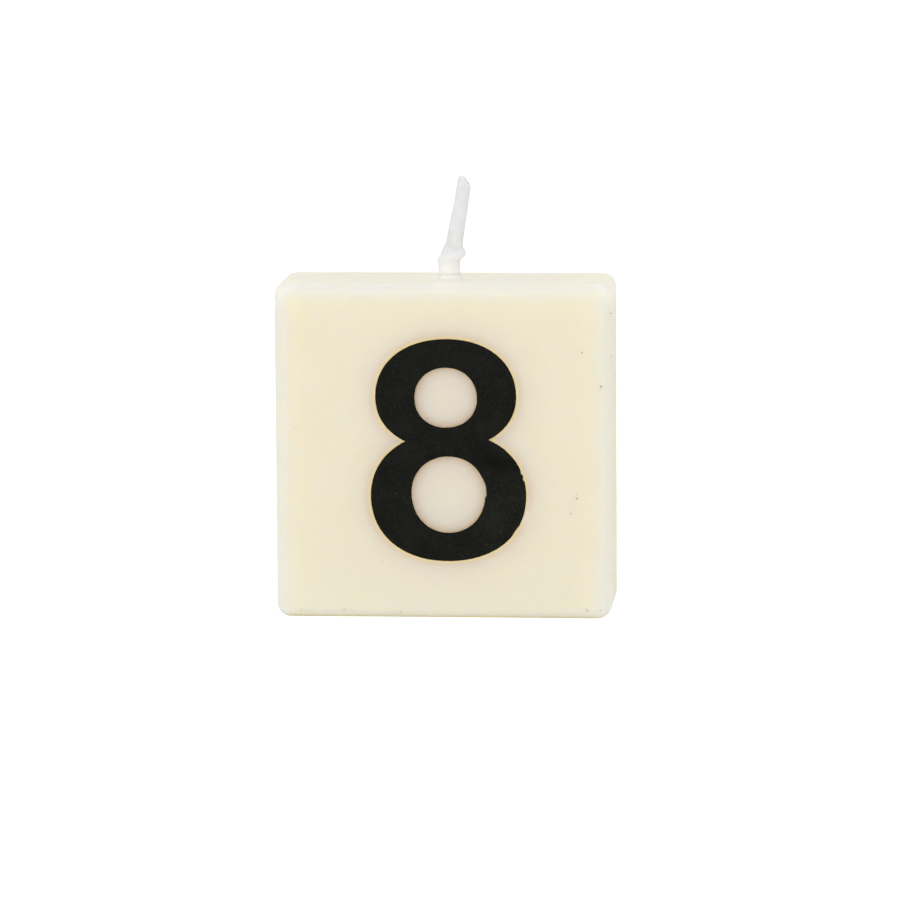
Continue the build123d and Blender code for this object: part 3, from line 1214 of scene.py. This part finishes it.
def knot_shells():
    """The strand that is tied round the wick, and the knot's packed middle."""
    angle, height, reach, radius = np.array(KNOT, float).T
    fine = np.linspace(angle[0], angle[-1], 220)
    turn, rise = np.radians(fine), np.interp(fine, angle, height)
    out = np.interp(fine, angle, reach)
    middle = wick_middle(rise) - (0.12, 0, 0)
    strand = middle + np.column_stack([out * np.cos(turn), 0.84 * out * np.sin(turn), np.zeros(len(fine))])
    knot = tube(strand, np.interp(fine, angle, radius), (0, 0, 1), 24, flatness=1.08)
    height, right, radius = np.array(KNOT_CORE).T
    core = np.column_stack([wick_x + right, 0 * right, tile_height + height])
    return knot, tube(core, radius, (0, 1, 0), flatness=0.98)


def wick_skin():
    """The visible wick, smoothed over by its wax but crisp at the tip, with a faint braid and a rough cut."""
    shells = [stem_shell(), *knot_shells()]
    points, faces, normals = fused(shells, WICK_VOXEL, 14)
    crisp, _, _ = fused(shells, WICK_VOXEL, 3)
    (tip, _), (corner, out_of_cut) = tip_cuts()
    at_tip = np.clip((points[:, 2] - tip[2] + 1.5) / 0.4, 0, 1)[:, None]
    points = points + at_tip * (crisp - points)

    above = points[:, 2] - tile_height
    axis = wick_middle(above)
    around = np.arctan2(points[:, 1] - axis[:, 1], points[:, 0] - axis[:, 0])
    braid = np.abs(np.sin(around * 1.5 + above * 2.1)) * np.abs(np.sin(around * 1.5 - above * 2.1))
    on_stem = np.clip((above - 3.3) / 0.8, 0, 1) * np.clip((TIP_ABOVE_WAX - 0.3 - above) / 0.5, 0, 1)
    lump = 0.012 * fractal(points, 0.9, 11) + 0.004 * fractal(points, 0.25, 12, 2)
    points = points + normals * (0.008 * (braid - 0.5) * on_stem + lump)[:, None]
    past_cut = (points - corner) @ out_of_cut
    cut_face = (past_cut > -0.08) | (points[:, 2] > tip[2] - 0.06)
    points = points + normals * (cut_face * 0.05 * fractal(points, 0.28, 13, 2))[:, None]
    points[:, 2] = np.minimum(points[:, 2], wick_high[2])
    return points, faces, normals


def make_wick():
    """The visible wick, and the length of it that is hidden in the tile."""
    points, faces, normals = wick_skin()
    hidden = tube([(wick_x, 0, plug_height), (wick_x, 0, tile_height - 0.4)], 0.75, (0, 1, 0), 24)
    every_point, every_face = joined([(points, faces), hidden])
    piece = new_piece("knotted_wick", every_point, every_face, cotton_material(), "wick")
    # painted shade in the creases of the wick's skin
    crease_shade = np.zeros(len(every_point))
    crease_shade[: len(points)] = hollows(points, faces, normals)
    add_attribute(piece, "crease_shade", crease_shade)


def hollows(points, faces, normals):
    """1 in the creases of a skin and 0 where it is flat or bulges, from each point and its neighbours."""
    total, count = np.zeros((len(points), 3)), np.zeros(len(points))
    for ring in range(4):
        a = np.array([f[ring] for f in faces])
        b = np.array([f[(ring + 1) % 4] for f in faces])
        for end, other in ((a, b), (b, a)):
            np.add.at(total, end, points[other])
            np.add.at(count, end, 1)
    lift = ((total / count[:, None] - points) * normals).sum(1) / WICK_VOXEL
    return np.clip(lift * 6, 0, 1)


def make_seal():
    """The bead of wax that climbs a little way up the wick's foot, wider to the front than behind."""

    def wobble(turn):
        return 1 + 0.10 * np.sin(-turn + 0.3) + 0.05 * np.sin(2 * turn + 1.1) + 0.02 * np.sin(5 * turn)

    profile = [
        (1.35, -0.25),
        (1.56, -0.12),
        (1.55, -0.08),
        (1.48, -0.045),
        (1.38, -0.015),
        (1.29, 0.025),
        (1.21, 0.08),
        (1.15, 0.16),
        (1.11, 0.25),
        (1.07, 0.36),
        (1.02, 0.42),
        (0.60, 0.42),
    ]
    points, faces = turned(profile, (wick_x - 0.08, -0.02, tile_height), 72, wobble)
    points[:, 2] += 0.02 * fractal(points, 0.8, 15)
    new_piece("seal_of_wax", points, faces, dabbed_wax_material(), "top_seal")


def make_plug():
    """The wax plug under the wick: a disc with a soft rim, dished where it shrank."""
    profile = [
        (0.20, 0.17),
        (plug_radius - 0.95, 0.11),
        (plug_radius - 0.60, 0.05),
        (plug_radius - 0.28, 0.04),
        (plug_radius - 0.10, 0.10),
        (plug_radius - 0.06, 0.25),
        (plug_radius - 0.10, plug_height),
    ]
    points, faces = turned(profile, (wick_x, 0, 0), 64)
    points[:, 2] += 0.02 * fractal(points, 1.1, 16) * (points[:, 2] < 0.2)
    new_piece("plug_of_wax", points, faces, dabbed_wax_material(), "base_plug")


# ---------------------------------------------------------------- make everything

make_camera()
make_studio()
make_floor()
make_tile()
make_film()
make_wick()
make_seal()
make_plug()
